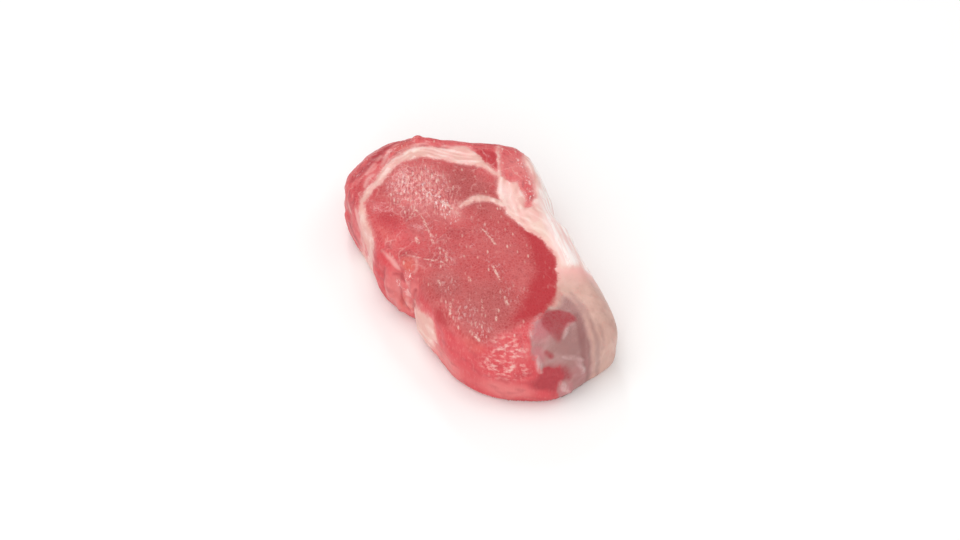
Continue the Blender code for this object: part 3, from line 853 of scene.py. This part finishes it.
    lean = laid_over(
        sizes.lean,
        (sizes.bright, at["bright"]),
        (sizes.bright, (cells, 0.35, 0.6, 0.45, 0.0), coarse),
        (sizes.deep, (cells, 0.6, 0.85, 0.0, 0.45), coarse),
        # Pale lean, with painted light low on the near wall.
        (sizes.pale, at["pale"], 0.7),
        # Dusky lean, partly painted shade.
        (sizes.dusky_and_shade, at["dusky_and_shade"]),
        (sizes.warm, at["warm"]),
        (sizes.pale, (broad, 0.4, 0.7, 0.0, 0.2)),
        (sizes.deep, (middle, 0.5, 0.75, 0.0, 0.45), (wall, 0.0, 1.0, 1.0, 0.1)),
        (sizes.deep, (grain(7.0, 1.0, (1, 1, 0.6)), 0.45, 0.7, 0.0, 0.35), wall),
        (sizes.deep, (at["rim"], 0.05, 0.4, 0.0, 0.8)),
        (sizes.film, (at["rim"], -0.1, -0.5, 0.0, 0.5)),
        (sizes.margin, at["margin"]),
        (sizes.pale, (dome, 0.0, 1.0, 0.2, 0.0), plain, (wall, 0.0, 1.0, 1.0, 0.2)),
        (sizes.pale, plain, (fine, 0.5, 0.75, 0.0, 0.35)),
        (sizes.deep, wet, (grain(1.1, 2.0), 0.55, 0.7, 0.0, 0.5)),
        # Pale dashes: specks of the lean, partly painted glints.
        (sizes.cream, specks_and_glints, plain, (wall, 0.0, 1.0, 0.62, 0.0)),
        # Painted glints: pale blobs on the wet wall.
        (sizes.film, (glint_blobs, 0.46, 0.58, 0.0, 0.5), drops_and_glints),
        (sizes.cream, (glint_blobs, 0.56, 0.68, 0.0, 0.6), drops_and_glints),
        # Painted glints: the pale drawn out fibres on the wet face, with dark fibres between.
        (sizes.cream, (fibres, 0.54, 0.68, 0.0, 0.4), on_face),
        (sizes.deep, (fibres, 0.47, 0.36, 0.0, 0.6), on_face),
        # The septa that the knife laid bare, those between the fascicles, and the clustered white glints, which are
        # painted highlights.
        (sizes.cream, (total(at["marbling"], share(ragged, 0.4)), -0.55, 0.3), (grain(1.2, 2.0), 0.4, 0.58, 0.1, 0.8)),
        (sizes.film, (seams, 0.0, 0.06, 0.35, 0.0), coarse, (wall, 0.0, 1.0, 1.0, 0.25), (grain(5.0, 1.0), 0.45, 0.6)),
        (sizes.shoulder, at["painted_glints"], (grain(0.9, 2.0, (2, 1, 1), -33.0), 0.52, 0.66, 0.0, 0.78)),
    )
    membrane = laid_over(
        sizes.silver,
        (sizes.mauve, at["mauve"]),
        (sizes.silver_light, (grain(2.8, 2.0, (1, 3.5, 3.0), 12.0), 0.42, 0.75, 0.0, 0.3)),
        (sizes.brown, at["brown"], 0.7),
    )
    meat = laid_over(
        lean,
        (membrane, in_silver, 0.94),
        (sizes.film, at["film"]),
        (sizes.deep, at["deep"], (grain(1.6, 3.0), 0.3, 0.6, 1.0, 0.8)),
        # Painted shade in the hollows beside the lobes.
        (sizes.deep, at["hollow"], 0.6),
        # The folds: the membrane's own white, partly painted highlight.
        (sizes.silver_light, at["folds"], (fine, 0.3, 0.6, 0.35, 0.7)),
        (sizes.film, (edge, -1.7, 0.0, 0.0, 0.3), plain, (in_silver, 0.0, 1.0, 1.0, 0.0)),
    )
    # The outer fat of the near end: its own colour, darkened in part with painted shade.
    outer_fat_and_shade = laid_over(
        sizes.beige_and_shade,
        (sizes.cream, (grain(5.0, 3.0, (1, 1, 2.2)), 0.4, 0.7, 0.0, 0.25)),
        (sizes.silver, (grain(2.2, 2.0, (1, 1, 3.0)), 0.5, 0.75, 0.0, 0.2)),
    )
    # Thin winding lines in the fat, where a broad noise passes its middle value.
    winding = add_node(
        tree, "ShaderNodeMath", {0: total(grain(9.0, 3.0, (1, 1, 2)), -0.5)}, operation="ABSOLUTE"
    ).outputs[0]  # fmt: skip
    fat = laid_over(
        sizes.cream,
        (sizes.film, (grain(4.0, 3.0, (3.5, 1, 1.6), -20.0), 0.42, 0.72, 0.0, 0.7)),
        (sizes.film, (broad, 0.46, 0.62, 0.0, 0.6)),
        (sizes.film, (at["fat"], 0.2, 2.2, 0.45, 0.0)),
        (sizes.seam, (at["veins"], -0.02, 0.24, 0.0, 0.7)),
        (sizes.shoulder, (at["veins"], -0.06, -0.3, 0.0, 0.3)),
        (sizes.seam, at["thin"], (grain(2.2, 3.0, (1.6, 1, 1.6), 40.0), 0.38, 0.62, 1.15, 0.35)),
        # Painted highlight on the cap's shoulder.
        (sizes.shoulder, at["shoulder"]),
        (sizes.film, at["strands"], (grain(1.3, 2.0, (14, 1, 1.6), -17.0), 0.42, 0.68, 0.0, 0.65)),
        (sizes.film, (near_end, 0.0, 0.3, 0.0, 0.85)),
        (outer_fat_and_shade, (near_end, 0.15, 0.75)),
        (sizes.silver, at["brown"], 0.6),
        (sizes.pale, (winding, 0.0, 0.012, 1.0, 0.0), 0.2),
    )

    # Relief in millimetres: bundles, fine fibres, wet lumps, the strands of the fat and a soft swell of the walls.
    height = add_node(tree, "ShaderNodeSeparateXYZ", {0: place}).outputs["Z"]
    swell = share((total(wall, in_silver), 0.0, 1.0), (height, 2 * MM, 12 * MM, 0.1, 1.0))
    relief = total(
        share(dome, (total(in_fat, wall), 0.0, 1.0, 0.07, 0.01)),
        share(fine, (joined("MAXIMUM", (in_fat, wall)), 0.0, 1.0, 0.1, 0.025)),
        share(
            grain(1.5, 2.0, (2.4, 1, 1), -33.0),
            (joined("MAXIMUM", (wet, share(drops_and_glints, 0.5))), 0.0, 1.0, 0.06, 1.0), 0.6,
        ),
        share(grain(1.5, 3.0, (7, 1, 2), -20.0), in_fat, 0.03),
        share(grain(2.6, 2.0), swell, 0.22),
    )  # fmt: skip
    bump = add_node(tree, "ShaderNodeBump", {"Strength": 1.0, "Distance": MM, "Height": relief})
    moist = total(joined("MAXIMUM", (wet, drops_and_glints)), share(wall, 0.4))
    shader = add_node(
        tree, "ShaderNodeBsdfPrincipled",
        {
            "Base Color": laid_over(meat, (fat, in_fat)), "Normal": bump.outputs[0], "IOR": 1.37,
            "Roughness": total((middle, 0.3, 0.7, 0.5, 0.6), (moist, 0.0, 1.0, 0.0, -0.13)),
            "Subsurface Weight": 0.12, "Subsurface Radius": (1.0, 0.35, 0.25), "Subsurface Scale": 0.002,
            "Coat Weight": 0.25, "Coat Roughness": 0.18, "Coat IOR": 1.35,
        },
    )  # fmt: skip
    add_node(tree, "ShaderNodeOutputMaterial", {"Surface": shader.outputs[0]})
    return material


def matt_paper(sizes):
    """Matt white paper: an even pale ground with a faint fibre."""
    material = bpy.data.materials.new("matt_paper")
    material.use_nodes = True
    tree = material.node_tree
    tree.nodes.clear()
    place = add_node(tree, "ShaderNodeTexCoord").outputs["Object"]
    fibre = add_node(tree, "ShaderNodeTexNoise", {"Vector": place, "Scale": 400.0, "Detail": 2.0})
    bump = add_node(tree, "ShaderNodeBump", {"Strength": 0.05, "Distance": 0.0002, "Height": fibre.outputs["Fac"]})
    shader = add_node(
        tree, "ShaderNodeBsdfPrincipled",
        {"Base Color": sizes.floor_colour, "Roughness": 0.9, "Specular IOR Level": 0.1, "Normal": bump.outputs[0]},
    )  # fmt: skip
    add_node(tree, "ShaderNodeOutputMaterial", {"Surface": shader.outputs[0]})
    return material


class VEAL_OT_stage(bpy.types.Operator):
    """Set the pale floor, the soft boxes and the camera"""

    bl_idname = "veal.stage"
    bl_label = "Stage"

    def execute(self, context):
        sizes = context.scene.veal_stage
        aim = Vector(sizes.camera_aim)
        flat, rise = math.cos(sizes.camera_rise), math.sin(sizes.camera_rise)
        back = Vector((math.cos(sizes.camera_bearing) * flat, math.sin(sizes.camera_bearing) * flat, rise))
        facing = (-back).to_track_quat("-Z", "Y").to_euler()
        bpy.ops.object.camera_add(location=aim + back * sizes.camera_distance, rotation=facing)
        camera = context.active_object
        camera.data.lens, camera.data.clip_start, camera.data.clip_end = sizes.camera_lens, 0.01, 50.0
        context.scene.camera = camera

        bpy.ops.mesh.primitive_plane_add(size=sizes.floor_size, location=(0.0, 0.0, FLOOR_HEIGHT))
        floor = context.active_object
        floor.name = "floor"
        floor.data.materials.append(matt_paper(sizes))

        for bearing, height, distance, side, watts in SOFT_BOXES:
            b, h = math.radians(bearing), math.radians(height)
            way = Vector((math.cos(b) * math.cos(h), math.sin(b) * math.cos(h), math.sin(h)))
            facing = way.to_track_quat("Z", "Y").to_euler()
            bpy.ops.object.light_add(type="AREA", location=way * distance, rotation=facing)
            lamp = context.active_object.data
            lamp.size, lamp.energy = side, watts * sizes.light_power

        world = bpy.data.worlds.new("studio")
        world.use_nodes = True
        sky = world.node_tree.nodes["Background"]
        sky.inputs["Color"].default_value = (1.0, 1.0, 1.0, 1.0)
        sky.inputs["Strength"].default_value = SKY_STRENGTH
        context.scene.world = world
        context.scene.view_settings.view_transform = "Standard"
        return {"FINISHED"}


class VEAL_PT_panel(bpy.types.Panel):
    """Buttons and sizes of the veal slice"""

    bl_label = "Veal sirloin"
    bl_idname = "VEAL_PT_panel"
    bl_space_type = "VIEW_3D"
    bl_region_type = "UI"
    bl_category = "Veal"

    def draw(self, context):
        for operator, group in ((VEAL_OT_stage, context.scene.veal_stage), (VEAL_OT_slice, context.scene.veal_slice)):
            self.layout.operator(operator.bl_idname)
            for name in group.__annotations__:
                self.layout.prop(group, name)


CLASSES = (SliceSettings, StageSettings, VEAL_OT_slice, VEAL_OT_stage, VEAL_PT_panel)


def register():
    for cls in CLASSES:
        bpy.utils.register_class(cls)
    bpy.types.Scene.veal_slice = bpy.props.PointerProperty(type=SliceSettings)
    bpy.types.Scene.veal_stage = bpy.props.PointerProperty(type=StageSettings)


def unregister():
    del bpy.types.Scene.veal_stage
    del bpy.types.Scene.veal_slice
    for cls in reversed(CLASSES):
        bpy.utils.unregister_class(cls)


def main():
    """Make the stage and the slice."""
    register()
    bpy.ops.veal.stage()
    bpy.ops.veal.slice()


if __name__ == "__main__":
    main()
